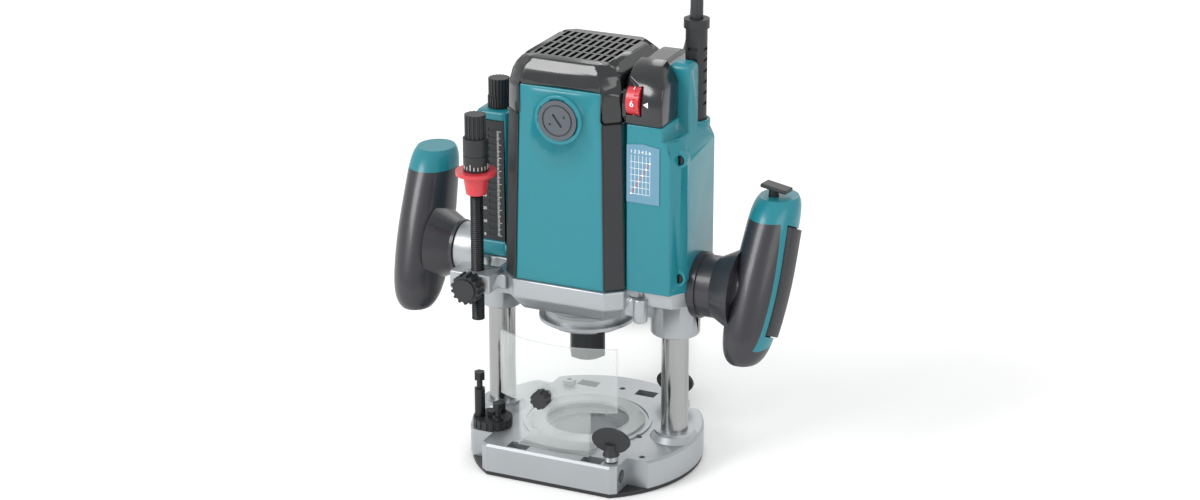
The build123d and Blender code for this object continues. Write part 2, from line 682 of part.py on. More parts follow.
def grip_caps():
    caps = []
    for sx in (-1, 1):
        cap = grip_shape(sx) & block(-200, 200, -100, 100, CAP_Z, 260)
        cap += grip_shape(sx) & spine_bar(sx)
        cap -= back_bar(sx, LEVER_W + 1.4, 80.0, LEVER_FLOOR if sx > 0 else 8.0)
        if sx > 0:
            cap += lever_pivot(LEVER_PIN, LEVER_W + 5.0)
            cap -= cyl(4.0, CAP_Z - 20, 240, GRIP_X, GRIP_HEAD[0] - 3)
        caps.append(cap)
    return many(caps)


def lever_pivot(radius, length):
    place = grip_place(1, LEVER_PIVOT[0]) * Pos(0, 0, LEVER_PIVOT[1]) * Rot(0, 90, 0)
    return place * Cylinder(radius, length)


def switch_lever():
    raised = grip_place(1, 2.4) * grip_place(1, 0).inverse() * grip_shape(1)
    body = raised & back_bar(1, LEVER_W, 78.0, LEVER_FLOOR + 2.4)
    body -= lever_pivot(LEVER_PIN + 0.08, LEVER_W + 8.0)
    return body.solid()


def left_grip_pad():
    raised = grip_place(-1, 1.2) * grip_place(-1, 0).inverse() * grip_shape(-1)
    body = raised & back_bar(-1, LEVER_W + 1.2, 79.8, 8.0)
    body -= block(-200, -90, -60, 60, 90, 114.2)
    return body.solid()


def lock_off_button():
    y, z = GRIP_HEAD[0] - 3, GRIP_HEAD[1]
    body = cyl(3.6, CAP_Z - 6, z + 6.2, GRIP_X, y)
    plate = Pos(GRIP_X + 2, y, z + 6.7) * Rot(-6, 10, 0) * Box(20.0, 15.0, 3.0)
    plate = fillet(plate.edges(), 1.2)
    return (body + plate).solid()


def plunge_lock_lever():
    body = cyl_y(3.0, 13.3, 20.0, -COLUMN_X, 128.0) + cyl_y(9.0, 17.4, 27.0, -COLUMN_X, 128.0)
    arm = Pos(-COLUMN_X, 22.0, 128.0) * Rot(0, 18, 0) * block(-27, 0, 0, 5.0, -4.5, 4.5)
    tip = Pos(-COLUMN_X, 22.0, 128.0) * Rot(0, 18, 0) * cyl_y(6.5, 0, 9.0, -27, 0)
    return (body + arm + tip).solid()


def shaft_lock():
    body = cyl_y(4.0, 17.8, 58.0, 0, 138.0) + cyl_y(6.4, 56.4, 61.0, 0, 138.0)
    return body.solid()


# --- cord ---
COIL_X, COIL_Y = -97.0, 302.0
COIL_OUTER, COIL_INNER = 57.0, 38.4
COIL_HEIGHT = 28.2
ROUTE = [(75.4, 20, 266), (75.4, 20, 360), (66.3, 42.2, 412), (45.8, 92.2, 436), (26.8, 138.4, 404),
         (17.9, 160.2, 344), (10.0, 179.5, 284), (-12, 197, 228), (-48, 208, 174), (-84, 215, 124),
         (-117, 226, 79), (-137, 247, 45), (-146.5, 278.0, 25.0)]
TAIL = [(-48.7, 322.2, 4.7), (-37.1, 294.5, 4.7), (-38.1, 258.3, 4.7), (-13.8, 203.5, 4.7),
        (7.9, 148.5, 4.7)]


def bend_radii(points):
    radii = []
    for a, b, c in zip(points, points[1:], points[2:]):
        u, v = Vector(*b) - Vector(*a), Vector(*c) - Vector(*b)
        turn = math.radians(u.get_angle(v))
        radii.append(0.45 * min(u.length, v.length) / math.tan(turn / 2))
    return radii


def cord_run(name, points):
    radii = bend_radii(points)
    path = FilletPolyline(*points, radius=radii)
    start = Plane(origin=path @ 0, z_dir=path % 0)
    tube = sweep(start * Circle(CORD_R), path=path)
    expected = math.pi * CORD_R ** 2 * path.length
    print(f"{name}: length {path.length:.1f}, radii {[round(r) for r in radii]}, "
          f"volume ratio {tube.volume / expected:.4f}")
    return tube.solid()


def cord_coil():
    return ring(COIL_OUTER, COIL_INNER, 0.1, COIL_HEIGHT, COIL_X, COIL_Y).solid()


def cord_tie():
    parts = []
    for a in (100.0, 250.0):
        mid = (COIL_OUTER + COIL_INNER) / 2
        wide = COIL_OUTER - COIL_INNER
        place = Pos(COIL_X, COIL_Y, 0) * Rot(0, 0, a)
        outer = place * block(mid - wide / 2 - 1.8, mid + wide / 2 + 1.8, -7, 7, 0, COIL_HEIGHT + 1.5)
        coil = ring(COIL_OUTER + 0.2, COIL_INNER - 0.2, 0.05, COIL_HEIGHT + 0.1, COIL_X, COIL_Y)
        parts.append(outer - coil)
    return many(parts)


PLUG_HEADING = math.degrees(math.atan2(148.5 - 203.5, 7.9 + 13.8))


def plug_frame():
    return Pos(7.9, 148.5, 0) * Rot(0, 0, PLUG_HEADING)


def plug_body():
    shell = block(14.0, 52.0, -9.0, 9.0, 0.05, 24.0)
    shell = fillet(shell.edges(), 3.5)
    shell += Pos(0, 0, 4.75) * Rot(0, 90, 0) * Cylinder(4.65, 20.0, align=LOW)
    return (plug_frame() * shell).solid()


def plug_blades():
    blades = [block(51.9, 69.0, -0.8, 0.8, z - 3.1, z + 3.1) for z in (6.0, 18.0)]
    return many([plug_frame() * (b - block(40, 52.0, -9, 9, 0, 25)) for b in blades])


NODES = {
    "base_plate": base_plate, "base_sole": base_sole, "sole_screws": sole_screws,
    "guide_columns": guide_columns, "guide_retainer": guide_retainer,
    "chip_deflector": chip_deflector,
    "deflector_screw": deflector_screw, "clamp_springs": clamp_springs,
    "front_clamp_screw": lambda: clamp_screw(ROD_FRONT_Y),
    "rear_clamp_screw": lambda: clamp_screw(ROD_REAR_Y),
    "stop_turret": stop_turret, "turret_pivot": turret_pivot, "stop_bolts": stop_bolts,
    "stop_nuts": stop_nuts, "gear_housing": gear_housing, "bearing_retainer": bearing_retainer,
    "retainer_screws": retainer_screws, "motor_bearings": motor_bearings,
    "column_bushes": column_bushes, "column_springs": column_springs,
    "motor_housing": motor_housing, "corner_strips": corner_strips, "top_cover": top_cover,
    "housing_screws": housing_screws, "field_core": field_core,
    "brush_holders": brush_holders, "carbon_brushes": carbon_brushes, "brush_caps": brush_caps,
    "spindle": spindle, "armature": armature, "commutator": commutator,
    "cooling_fan": cooling_fan, "collet": collet, "collet_nut": collet_nut,
    "controller_housing": controller_housing, "dial_housing": dial_housing,
    "speed_dial": speed_dial, "speed_label": speed_label, "cord_guard": cord_guard,
    "left_column_cover": left_column_cover, "depth_scale": depth_scale,
    "height_knob": height_knob, "stop_pole": stop_pole, "pole_pointer": pole_pointer,
    "fine_knob": fine_knob, "pole_clamp_knob": pole_clamp_knob,
    "left_grip": lambda: grip(-1), "right_grip": lambda: grip(1), "grip_caps": grip_caps,
    "switch_lever": switch_lever, "left_grip_pad": left_grip_pad,
    "lock_off_button": lock_off_button, "plunge_lock_lever": plunge_lock_lever,
    "shaft_lock": shaft_lock,
    "cord_tube": lambda: cord_run("cord_tube", ROUTE), "cord_coil": cord_coil,
    "cord_tail": lambda: cord_run("cord_tail", TAIL), "cord_tie": cord_tie,
    "plug_body": plug_body, "plug_blades": plug_blades,
}


def main():
    os.makedirs("parts", exist_ok=True)
    for name, make in NODES.items():
        save(name, make())
    print(len(NODES), "nodes")


main()
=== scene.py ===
"""Looks of a plunge router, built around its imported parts, in metres."""
import logging
import math
from dataclasses import dataclass, field
from enum import Enum

import bmesh
import bpy
from mathutils import Matrix, Vector
from mathutils.kdtree import KDTree


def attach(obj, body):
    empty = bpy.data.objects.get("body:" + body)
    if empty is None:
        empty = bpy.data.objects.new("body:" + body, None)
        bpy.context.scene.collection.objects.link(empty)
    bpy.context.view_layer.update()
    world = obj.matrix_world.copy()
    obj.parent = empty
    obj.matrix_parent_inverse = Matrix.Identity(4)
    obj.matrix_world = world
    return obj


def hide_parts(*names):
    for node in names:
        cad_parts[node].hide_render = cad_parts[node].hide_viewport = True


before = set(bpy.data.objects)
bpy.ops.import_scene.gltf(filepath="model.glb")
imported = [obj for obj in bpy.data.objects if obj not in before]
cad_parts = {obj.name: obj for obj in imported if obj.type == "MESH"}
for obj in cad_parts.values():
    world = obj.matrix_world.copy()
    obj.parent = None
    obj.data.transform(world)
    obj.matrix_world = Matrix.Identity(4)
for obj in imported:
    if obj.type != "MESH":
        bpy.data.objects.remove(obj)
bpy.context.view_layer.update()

log = logging.getLogger("router")
MM = 0.001
UPRIGHT = Matrix.Rotation(math.pi / 2, 4, "X")  # stands flat print up, facing the front


class Texture(Enum):
    """How a surface was made."""

    MOULDED = "moulded"
    CAST = "cast"
    MACHINED = "machined"
    CLEAR = "clear"
    DOTTED = "dotted"
    THREADED = "threaded"
    LAMINATED = "laminated"


def hex_linear(code: str) -> tuple[float, float, float, float]:
    """Turns an sRGB hex colour to linear.

    Args:
        code: colour such as "#17899a".

    Returns:
        Linear red, green, blue and an alpha of one.
    """
    values = [int(code[i:i + 2], 16) / 255 for i in (1, 3, 5)]
    linear = [v / 12.92 if v <= 0.04045 else ((v + 0.055) / 1.055) ** 2.4 for v in values]
    return (*linear, 1.0)


def add_node(tree: bpy.types.NodeTree, kind: str, settings: dict | None = None,
             links: dict | None = None) -> bpy.types.Node:
    """Adds one node with its settings and links.

    Args:
        tree: node tree that gets it.
        kind: node type name.
        settings: attribute or input names to values.
        links: input names to output sockets.

    Returns:
        The new node.
    """
    node = tree.nodes.new(kind)
    for key, value in (settings or {}).items():
        if isinstance(key, str) and hasattr(node, key):
            setattr(node, key, value)
        else:
            node.inputs[key].default_value = value
    for key, socket in (links or {}).items():
        tree.links.new(socket, node.inputs[key])
    return node


@dataclass(frozen=True)
class Finish:
    """One real surface: its colour, gloss and the size of its pattern."""

    name: str
    color: str
    second: str
    roughness: float
    metallic: float = 0.0
    texture: Texture = Texture.MOULDED
    grain_mm: float = 1.0
    depth_mm: float = 0.02
    coat: float = 0.0
    ior: float = 1.5

    def build(self) -> bpy.types.Material:
        """Makes the material.

        Returns:
            The finished material.
        """
        material = bpy.data.materials.new(self.name)
        material.use_nodes = True
        tree = material.node_tree
        tree.nodes.clear()
        output = add_node(tree, "ShaderNodeOutputMaterial")
        shader = add_node(tree, "ShaderNodeBsdfPrincipled",
                          {"Metallic": self.metallic, "Coat Weight": self.coat, "Coat Roughness": 0.08})
        if not self.metallic:
            shader.inputs["IOR"].default_value = self.ior
        tree.links.new(shader.outputs[0], output.inputs[0])
        place = add_node(tree, "ShaderNodeTexCoord").outputs["Object"]
        scale = 1.0 / (self.grain_mm * MM)
        height = self.height(tree, place, scale)
        cloud = add_node(tree, "ShaderNodeTexNoise", {"Scale": 22.0, "Detail": 4.0, "Roughness": 0.6},
                         {"Vector": place}).outputs["Fac"]
        tone = add_node(tree, "ShaderNodeMix", {"data_type": "RGBA"}, {"Factor": cloud})
        tone.inputs["A"].default_value = hex_linear(self.color)
        tone.inputs["B"].default_value = hex_linear(self.second)
        tree.links.new(tone.outputs["Result"], shader.inputs["Base Color"])
        spread = add_node(tree, "ShaderNodeMapRange",
                          {"From Min": 0.3, "From Max": 0.7,
                           "To Min": max(self.roughness - 0.05, 0.02), "To Max": self.roughness + 0.05},
                          {"Value": cloud})
        tree.links.new(spread.outputs[0], shader.inputs["Roughness"])
        bump = add_node(tree, "ShaderNodeBump", {"Strength": 0.6, "Distance": self.depth_mm * MM},
                        {"Height": height})
        tree.links.new(bump.outputs[0], shader.inputs["Normal"])
        if self.texture is Texture.CLEAR:
            facing = add_node(tree, "ShaderNodeLayerWeight", {"Blend": 0.35}).outputs["Facing"]
            # edges seen side-on through more of the sheet look denser
            cover = add_node(tree, "ShaderNodeMapRange", {"To Min": 0.16, "To Max": 0.62},
                             {"Value": facing})
            tree.links.new(cover.outputs[0], shader.inputs["Alpha"])
        return material

    def height(self, tree: bpy.types.NodeTree, place: bpy.types.NodeSocket,
               scale: float) -> bpy.types.NodeSocket:
        """Picks the pattern of the surface.

        Args:
            tree: the material's node tree.
            place: object coordinates.
            scale: patterns per metre.

        Returns:
            Socket with the height of the pattern.
        """
        if self.texture is Texture.DOTTED:
            return add_node(tree, "ShaderNodeTexVoronoi", {"Scale": scale, "Randomness": 0.15},
                            {"Vector": place}).outputs["Distance"]
        if self.texture in (Texture.THREADED, Texture.LAMINATED):
            return add_node(tree, "ShaderNodeTexWave",
                            {"bands_direction": "Z", "Scale": scale / 2 / math.pi, "Distortion": 0.0},
                            {"Vector": place}).outputs["Fac"]
        if self.texture is Texture.MACHINED:
            along = add_node(tree, "ShaderNodeMapping", {"Scale": (0.02, 0.02, 1.0)}, {"Vector": place})
            return add_node(tree, "ShaderNodeTexNoise", {"Scale": scale, "Detail": 2.0},
                            {"Vector": along.outputs[0]}).outputs["Fac"]
        return add_node(tree, "ShaderNodeTexNoise", {"Scale": scale, "Detail": 3.0},
                        {"Vector": place}).outputs["Fac"]


class Finishes:
    """Every finish on the router, built once."""

    TABLE = {
        # glossy teal ABS: clean highlights with a hint of orange peel
        "teal": Finish("teal_abs", "#1a7783", "#1f808c", 0.32, coat=0.12, grain_mm=2.5, depth_mm=0.002,
                       ior=1.45),
        # polished black ABS of the cover
        "black_gloss": Finish("black_gloss_abs", "#141618", "#1a1c1f", 0.2, coat=0.4, grain_mm=2.5,
                              depth_mm=0.003),
        # spark-eroded black nylon of knobs
        "black_nylon": Finish("black_nylon", "#1d1f21", "#26282a", 0.48, grain_mm=0.7, depth_mm=0.04),
        # soft overmoulded grip: low gloss, fine grain
        "soft_grip": Finish("soft_grip_elastomer", "#26262b", "#2f2f35", 0.36, coat=0.2,
                            grain_mm=0.6, depth_mm=0.05),
        # dotted grip face of the switch lever
        "dotted_grip": Finish("dotted_grip_elastomer", "#1f2124", "#2a2c2f", 0.5, texture=Texture.DOTTED,
                              grain_mm=2.4, depth_mm=0.35),
        # die-cast aluminium under silver enamel
        "silver_casting": Finish("silver_enamelled_casting", "#a4a8ab", "#aeb2b5", 0.36, metallic=0.7,
                                 texture=Texture.CAST, grain_mm=0.9, depth_mm=0.03),
        # ground and hard-chromed column tube: near mirror with faint rings
        "chromed_steel": Finish("hard_chromed_steel", "#9b9c9c", "#a6a7a6", 0.2, metallic=1.0,
                                texture=Texture.MACHINED, grain_mm=0.5, depth_mm=0.004),
        "zinc_steel": Finish("zinc_plated_steel", "#a9acae", "#b9bbbc", 0.3, metallic=1.0,
                             texture=Texture.MACHINED, grain_mm=0.5, depth_mm=0.01),
        # blackened bolts and collet nut
        "black_steel": Finish("blackened_steel", "#2f3133", "#3b3d3f", 0.34, metallic=0.8,
                              grain_mm=0.8, depth_mm=0.02),
        "threaded_steel": Finish("blackened_thread", "#232527", "#2e3032", 0.4, metallic=0.5,
                                 texture=Texture.THREADED, grain_mm=1.5, depth_mm=0.5),
        "clear_sheet": Finish("clear_polycarbonate", "#d5dcda", "#dde3e1", 0.08, texture=Texture.CLEAR,
                              grain_mm=8.0, depth_mm=0.004, ior=1.45),
        "red": Finish("red_acetal", "#c22f38", "#cc3a42", 0.35, coat=0.15, grain_mm=1.2, depth_mm=0.01),
        "grey_cap": Finish("grey_nylon", "#4a5056", "#545a60", 0.42, grain_mm=0.8, depth_mm=0.03),
        "label_blue": Finish("printed_vinyl_label", "#5d8aa2", "#6793aa", 0.4, grain_mm=1.5,
                             depth_mm=0.004),
        "white_ink": Finish("white_pad_print", "#f1f3f3", "#ffffff", 0.5, grain_mm=0.6, depth_mm=0.004),
        "red_ink": Finish("red_pad_print", "#c5303a", "#cf3a44", 0.5, grain_mm=0.6, depth_mm=0.004),
        "copper": Finish("copper", "#b0693f", "#bd784c", 0.3, metallic=1.0, grain_mm=0.8, depth_mm=0.01),
        "sintered_bronze": Finish("sintered_bronze", "#9c7a48", "#ab8853", 0.42, metallic=1.0,
                                  grain_mm=0.4, depth_mm=0.03),
        # stacked core sheets: fine lines along the stack
        "core_steel": Finish("laminated_core_steel", "#55585b", "#62656a", 0.42, metallic=0.9,
                             texture=Texture.LAMINATED, grain_mm=1.0, depth_mm=0.15),
        "carbon": Finish("pressed_carbon", "#17171a", "#202024", 0.55, grain_mm=0.4, depth_mm=0.02),
        # rubber cord jacket: soft sheen, faint pull marks
        "cord_jacket": Finish("cord_rubber_jacket", "#26292b", "#303335", 0.45, grain_mm=1.0,
                              depth_mm=0.03),
    }

    def __init__(self) -> None:
        """Builds all materials."""
        self.made = {key: finish.build() for key, finish in self.TABLE.items()}

    def put(self, piece: bpy.types.Object, key: str) -> bpy.types.Object:
        """Gives a piece one finish.

        Args:
            piece: mesh or curve object.
            key: name in TABLE.

        Returns:
            The same piece.
        """
        piece.data.materials.clear()
        piece.data.materials.append(self.made[key])
        return piece


NODE_FINISH = {
    "silver_casting": ["base_plate", "gear_housing", "bearing_retainer"],
    "black_nylon": ["base_sole", "deflector_screw", "front_clamp_screw", "rear_clamp_screw",
                    "stop_turret", "cord_guard", "depth_scale", "fine_knob", "pole_clamp_knob", "height_knob",
                    "plunge_lock_lever", "shaft_lock", "cooling_fan", "lock_off_button", "cord_tie",
                    "plug_body", "corner_strips"],
    "zinc_steel": ["sole_screws", "motor_bearings", "spindle", "collet", "clamp_springs",
                   "column_springs", "plug_blades"],
    "chromed_steel": ["guide_columns"],
    "black_steel": ["turret_pivot", "stop_bolts", "stop_nuts", "retainer_screws", "housing_screws",
                    "collet_nut"],
    "threaded_steel": ["stop_pole"],
    "clear_sheet": ["guide_retainer", "chip_deflector"],
    "teal": ["motor_housing", "controller_housing", "left_column_cover", "grip_caps"],
    "black_gloss": ["top_cover", "dial_housing"],
    "grey_cap": ["brush_caps"],
    "red": ["speed_dial", "pole_pointer"],
    "label_blue": ["speed_label"],
    "soft_grip": ["left_grip", "right_grip", "left_grip_pad"],
    "dotted_grip": ["switch_lever"],
    "copper": ["commutator", "brush_holders"],
    "sintered_bronze": ["column_bushes"],
    "core_steel": ["armature", "field_core"],
    "carbon": ["carbon_brushes"],
    "cord_jacket": ["cord_tube", "cord_coil", "cord_tail"],
}


# node, material slot, finish and width of the soft edge in millimetres
SOFT_EDGES = [
    ("top_cover", "black_gloss", "black_gloss", 2.2),
    ("dial_housing", "black_gloss", "black_gloss", 2.0),
    ("motor_housing", "teal_plastic", "teal", 1.2),
    ("controller_housing", "teal_plastic", "teal", 1.0),
    ("left_column_cover", "teal_plastic", "teal", 2.0),
    ("corner_strips", "black_matte", "black_nylon", 1.0),
    ("gear_housing", "gear_casting", "silver_casting", 1.2),
]


def finish_piece(name: str, mesh: bpy.types.Mesh, body: str) -> bpy.types.Object:
    """Links a mesh as a piece that rides on a body.

    Args:
        name: piece name.
        mesh: its mesh, in the row frame.
        body: CAD body it moves with.

    Returns:
        The new object.
    """
    piece = bpy.data.objects.new(name, mesh)
    bpy.context.scene.collection.objects.link(piece)
    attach(piece, body)
    return piece


def mesh_piece(shape: bmesh.types.BMesh, name: str, body: str) -> bpy.types.Object:
    """Turns a built shape into a piece that rides on a body.

    Args:
        shape: mesh being built, which is freed.
        name: piece name.
        body: CAD body it moves with.

    Returns:
        The new object.
    """
    mesh = bpy.data.meshes.new(name)
    shape.to_mesh(mesh)
    shape.free()
    return finish_piece(name, mesh, body)


def is_ridge(edge: bmesh.types.BMEdge, near: KDTree, angle: float, width: float) -> bool:
    """Tells whether an edge is an outer corner with room for a soft edge.

    Args:
        edge: edge of the shape.
        near: tree of the shape's corners.
        angle: smallest corner that counts, in radians.
        width: width of the soft edge.

    Returns:
        True for an outer corner.
    """
    if len(edge.link_faces) != 2 or not edge.is_convex or edge.calc_face_angle(0.0) < angle:
        return False
    middle = (edge.verts[0].co + edge.verts[1].co) / 2
    outward = (edge.link_faces[0].normal + edge.link_faces[1].normal).normalized()
    reach = max(4.0 * width, 0.5 * edge.calc_length())
    return all((spot - middle).dot(outward) < 0.0003 for spot, _, _ in near.find_range(middle, reach))


def find_ridges(shape: bmesh.types.BMesh, angle: float, width: float) -> list[bmesh.types.BMEdge]:
    """Collects the outer corners of a shape.

    Args:
        shape: mesh being built.
        angle: smallest corner that counts, in radians.
        width: width of the soft edge.

    Returns:
        The edges to soften.
    """
    near = KDTree(len(shape.verts))
    for i, vert in enumerate(shape.verts):
        near.insert(vert.co, i)
    near.balance()
    return [edge for edge in shape.edges if is_ridge(edge, near, angle, width)]


def rounded_copy(node: str, body: str, width_mm: float, segments: int = 3,
                 angle: float = 30.0, sharp_roof: bool = False) -> bpy.types.Object:
    """Copies a CAD node with its edges softened.

    Args:
        node: CAD node name.
        body: CAD body it rides on.
        width_mm: width of the softened edge.
        segments: steps across the edge.
        angle: smallest corner, in degrees, that is softened.
        sharp_roof: whether the edge round the flat top stays crisp.

    Returns:
        The new object, shown in place of the node.
    """
    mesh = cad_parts[node].data.copy()
    shape = bmesh.new()
    shape.from_mesh(mesh)
    bmesh.ops.remove_doubles(shape, verts=shape.verts, dist=0.00002)
    ridges = find_ridges(shape, math.radians(angle), width_mm * MM)
    if sharp_roof:
        roof = max(vert.co.z for vert in shape.verts) - 0.0005
        ridges = [edge for edge in ridges if min(vert.co.z for vert in edge.verts) < roof]
    bmesh.ops.bevel(shape, geom=ridges, offset=width_mm * MM, offset_type="OFFSET", segments=segments,
                    profile=0.5, affect="EDGES", clamp_overlap=False, material=-1)
    for face in shape.faces:
        face.smooth = True
    shape.to_mesh(mesh)
    shape.free()
    mesh.set_sharp_from_angle(angle=math.radians(35.0))
    piece = finish_piece(f"{node}_shell", mesh, body)
    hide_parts(node)
    return piece


def text_mesh(name: str, words: str, size_mm: float, place: Matrix, body: str) -> bpy.types.Object:
    """Makes flat lettering as a thin mesh.

    Args:
        name: piece name.
        words: characters to show.
        size_mm: letter size.
        place: where the text's centre goes.
        body: CAD body it rides on.

    Returns:
        The lettering.
    """
    curve = bpy.data.curves.new(name, "FONT")
    curve.body = words
    curve.size = size_mm * MM
    curve.align_x = "CENTER"
    curve.align_y = "CENTER"
    curve.extrude = 0.00005
    source = bpy.data.objects.new(name + "_source", curve)
    bpy.context.scene.collection.objects.link(source)
    bpy.context.view_layer.update()
    mesh = bpy.data.meshes.new_from_object(source)
    bpy.data.objects.remove(source)
    mesh.transform(place)
    return finish_piece(name, mesh, body)


@dataclass
class Cord:
    """Supply cord: its rise from the guard, its fall behind, the coil and the run to the plug."""

    radius: float = 0.0046
    length: float = 2.5
    centre: tuple[float, float] = (-0.097, 0.302)
    outer: float = 0.0524
    inner: float = 0.043
    layers: tuple[float, float, float] = (0.0235, 0.0141, 0.0047)
    rise: list = field(default_factory=lambda: [
        (0.0754, 0.020, 0.266), (0.0754, 0.020, 0.360), (0.0663, 0.0422, 0.412),
        (0.0458, 0.0922, 0.436), (0.0268, 0.1384, 0.404), (0.0179, 0.1602, 0.344),
        (0.010, 0.1795, 0.284), (-0.012, 0.197, 0.228), (-0.048, 0.208, 0.174),
        (-0.084, 0.215, 0.124), (-0.117, 0.226, 0.079), (-0.137, 0.247, 0.045)])
    tail: list = field(default_factory=lambda: [
        (-0.0487, 0.3222, 0.0047), (-0.0371, 0.2945, 0.0047), (-0.0381, 0.2583, 0.0047),
        (-0.0138, 0.2035, 0.0047), (0.0079, 0.1485, 0.0047)])

    def turns(self) -> list[tuple[float, float, float]]:
        """Lays the coil's turns, clockwise from above, from the top layer down.

        Returns:
            Points of the turns.
        """
        points = []
        steps = 16
        start = math.radians(200.0)
        plan = [(self.outer, 0, 1.0), (self.inner, 0, 1.0), (self.inner, 1, 1.0), (self.outer, 1, 1.0),
                (self.inner, 2, 1.0), (self.outer, 2, 0.5)]
        turned = 0.0
        for radius, layer, share in plan:
            count = int(steps * share)
            for i in range(count):
                angle = start - 2 * math.pi * (turned + (i + 0.5) / steps)
                grow = radius / math.cos(math.pi / steps)
                points.append((self.centre[0] + grow * math.cos(angle),
                               self.centre[1] + grow * math.sin(angle), self.layers[layer]))
            turned += share
        return points

    def build(self, finishes: Finishes) -> bpy.types.Object:
        """Builds the cord as one curve.

        Args:
            finishes: the material set.

        Returns:
            The cord.
        """
        points = self.rise + self.turns() + self.tail[1:]
        curve = bpy.data.curves.new("supply_cord", "CURVE")
        curve.dimensions = "3D"
        curve.bevel_depth = 1.0  # the points' own radius sets the thickness
        curve.bevel_resolution = 5
        curve.resolution_u = 8
        curve.use_fill_caps = True
        spline = curve.splines.new("NURBS")
        spline.points.add(len(points) - 1)
        for point, spot in zip(spline.points, points):
            point.co = (*spot, 1.0)
            point.radius = self.radius
        spline.order_u = 3
        spline.use_endpoint_u = True
        cord = bpy.data.objects.new("supply_cord", curve)
        bpy.context.scene.collection.objects.link(cord)
        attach(cord, "base")
        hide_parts("cord_tube", "cord_coil", "cord_tail")
        return finishes.put(cord, "cord_jacket")


@dataclass
class SpeedLabel:
    """Speed chart beside the dial: digits, level lines, six points on a rising line."""

    left: float = 0.0476
    right: float = 0.0724
    low: float = 0.2155
    high: float = 0.2555
    face_y: float = -0.03785

    def bar(self, shape: bmesh.types.BMesh, a: tuple[float, float], b: tuple[float, float],
            width: float) -> None:
        """Adds one flat printed line.

        Args:
            shape: mesh being built.
            a: start, x and z.
            b: end, x and z.
            width: line width.
        """
        length = math.dist(a, b)
        turn = math.atan2(b[1] - a[1], b[0] - a[0])
        place = (Matrix.Translation(((a[0] + b[0]) / 2, self.face_y, (a[1] + b[1]) / 2))
                 @ Matrix.Rotation(-turn, 4, "Y") @ Matrix.Diagonal((length, 0.00008, width, 1)))
        bmesh.ops.create_cube(shape, size=1.0, matrix=place)

    def build(self, finishes: Finishes) -> list[bpy.types.Object]:
        """Builds the printed chart.

        Args:
            finishes: the material set.

        Returns:
            Its pieces.
        """
        width = self.right - self.left
        columns = [self.left + width * (0.14 + 0.115 * i) for i in range(6)]
        rows = [self.low + 0.0065 + 0.0047 * i for i in range(6)]
        lines = bmesh.new()
        for z in rows:
            self.bar(lines, (columns[0] - 0.001, z), (self.right - 0.0075, z), 0.00025)
        for x, z in zip(columns, rows):
            self.bar(lines, (x, rows[0]), (x, self.high - 0.005), 0.00025)
            bmesh.ops.create_cube(lines, size=0.0011, matrix=Matrix.Translation((x, self.face_y, z))
                                  @ Matrix.Diagonal((1, 0.15, 1, 1)))
        pieces = [finishes.put(mesh_piece(lines, "speed_chart", "carriage"), "white_ink")]
        rise = bmesh.new()
        for (x0, z0), (x1, z1) in zip(zip(columns, rows), zip(columns[1:], rows[1:])):
            self.bar(rise, (x0, z0), (x1, z1), 0.0005)
        pieces.append(finishes.put(mesh_piece(rise, "speed_curve", "carriage"),
                                   "red_ink"))
        middle = (columns[0] + columns[-1]) / 2
        place = Matrix.Translation((middle, self.face_y, self.high - 0.0025)) @ UPRIGHT
        pieces.append(finishes.put(text_mesh("speed_digits", "1 2 3 4 5 6", 3.6, place, "carriage"), "white_ink"))
        return pieces


@dataclass
class DialMarks:
    """White digit on the dial and the pointer triangle beside it."""

    x: float = 0.052
    y: float = -0.028
    z: float = 0.288
    radius: float = 0.012
    pointer: tuple[float, float] = (0.0625, -0.03845)

    def build(self, finishes: Finishes) -> list[bpy.types.Object]:
        """Builds the digits and the triangle.

        Args:
            finishes: the material set.

        Returns:
            Its pieces.
        """
        pieces = []
        for i, digit in enumerate("612345"):
            turn = math.radians(-60.0 * i)
            place = (Matrix.Translation((self.x, self.y, self.z)) @ Matrix.Rotation(turn, 4, "X")
                     @ Matrix.Translation((0, -self.radius - 0.00002, 0)) @ UPRIGHT)
            pieces.append(finishes.put(text_mesh(f"dial_digit_{digit}", digit, 6.5, place, "speed_dial"), "white_ink"))
        shape = bmesh.new()
        bmesh.ops.create_cone(shape, cap_ends=True, segments=3, radius1=0.0024, radius2=0.0024,
                              depth=0.0001, matrix=Matrix.Translation((*self.pointer, self.z))
                              @ UPRIGHT @ Matrix.Rotation(math.pi / 2, 4, "Z"))
        pieces.append(finishes.put(mesh_piece(shape, "dial_pointer", "carriage"),
                                   "white_ink"))
        return pieces


